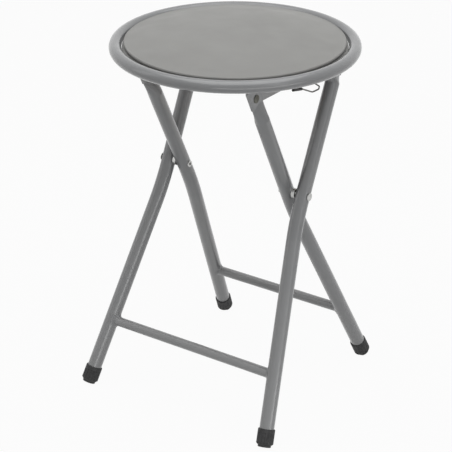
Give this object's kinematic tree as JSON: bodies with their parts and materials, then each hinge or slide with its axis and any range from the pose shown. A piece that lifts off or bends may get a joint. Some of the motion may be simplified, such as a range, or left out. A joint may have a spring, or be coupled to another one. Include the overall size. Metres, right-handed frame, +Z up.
{
  "type": "folding stool",
  "caption": "Round folding stool with a padded seat in a tube ring, crossed tube legs on rubber caps, and a wire safety latch.",
  "frame": {"origin": "on the floor under the middle of the seat ring", "axes": "+Z up, +X to the right along the leg pivot, +Y from the front feet to the back feet"},
  "size_m": [0.3, 0.3, 0.463],
  "materials": {
    "powder_coat": "semi-gloss powder coat, light grey",
    "vinyl": "smooth grey vinyl",
    "foam": "matte",
    "board": "raw particle board",
    "rubber": "matte black",
    "zinc": "zinc plated",
    "spring_wire": "bright spring wire",
    "sleeve_plastic": "matte black"
  },
  "bodies": {
    "inner_frame": {"inner_leg_left": "powder_coat", "inner_leg_right": "powder_coat", "inner_stretcher": "powder_coat", "inner_foot_left": "rubber", "inner_foot_right": "rubber", "pivot_rivet_left": "zinc", "pivot_rivet_right": "zinc", "pivot_spacer_left": "zinc", "pivot_spacer_right": "zinc"},
    "outer_frame": {"outer_leg_left": "powder_coat", "outer_leg_right": "powder_coat", "outer_stretcher": "powder_coat", "outer_foot_left": "rubber", "outer_foot_right": "rubber", "catch_rod": "zinc"},
    "seat": {"seat_ring": "powder_coat", "seat_board": "board", "seat_foam": "foam", "seat_cover": "vinyl", "cover_staples": "zinc", "board_screws": "zinc", "rail_left": "powder_coat", "rail_right": "powder_coat", "hinge_rivet_left": "zinc", "hinge_rivet_right": "zinc", "hinge_spacer_left": "zinc", "hinge_spacer_right": "zinc", "latch_rivet": "zinc"},
    "latch": {"latch_wire": "spring_wire", "latch_sleeve": "sleeve_plastic"}
  },
  "joints": [
    {"name": "leg_pivot", "type": "hinge", "parent": "inner_frame", "child": "outer_frame", "pos_m": [0, -0.00097, 0.2759], "axis": [1, 0, 0], "range_deg": [0, 46]},
    {"name": "seat_hinge", "type": "hinge", "parent": "inner_frame", "child": "seat", "pos_m": [0, -0.07277, 0.4173], "axis": [1, 0, 0], "range_deg": [0, 110]},
    {"name": "latch_pivot", "type": "hinge", "parent": "seat", "child": "latch", "pos_m": [0.093, 0.04864, 0.4253], "axis": [1, 0, 0], "range_deg": [0, 8], "stiffness_Nm_per_rad": 0.05, "springref_deg": -17.19}
  ],
  "couplings": [
    {"joint": "seat_hinge", "follows": "leg_pivot", "ratio": 2.391}
  ]
}
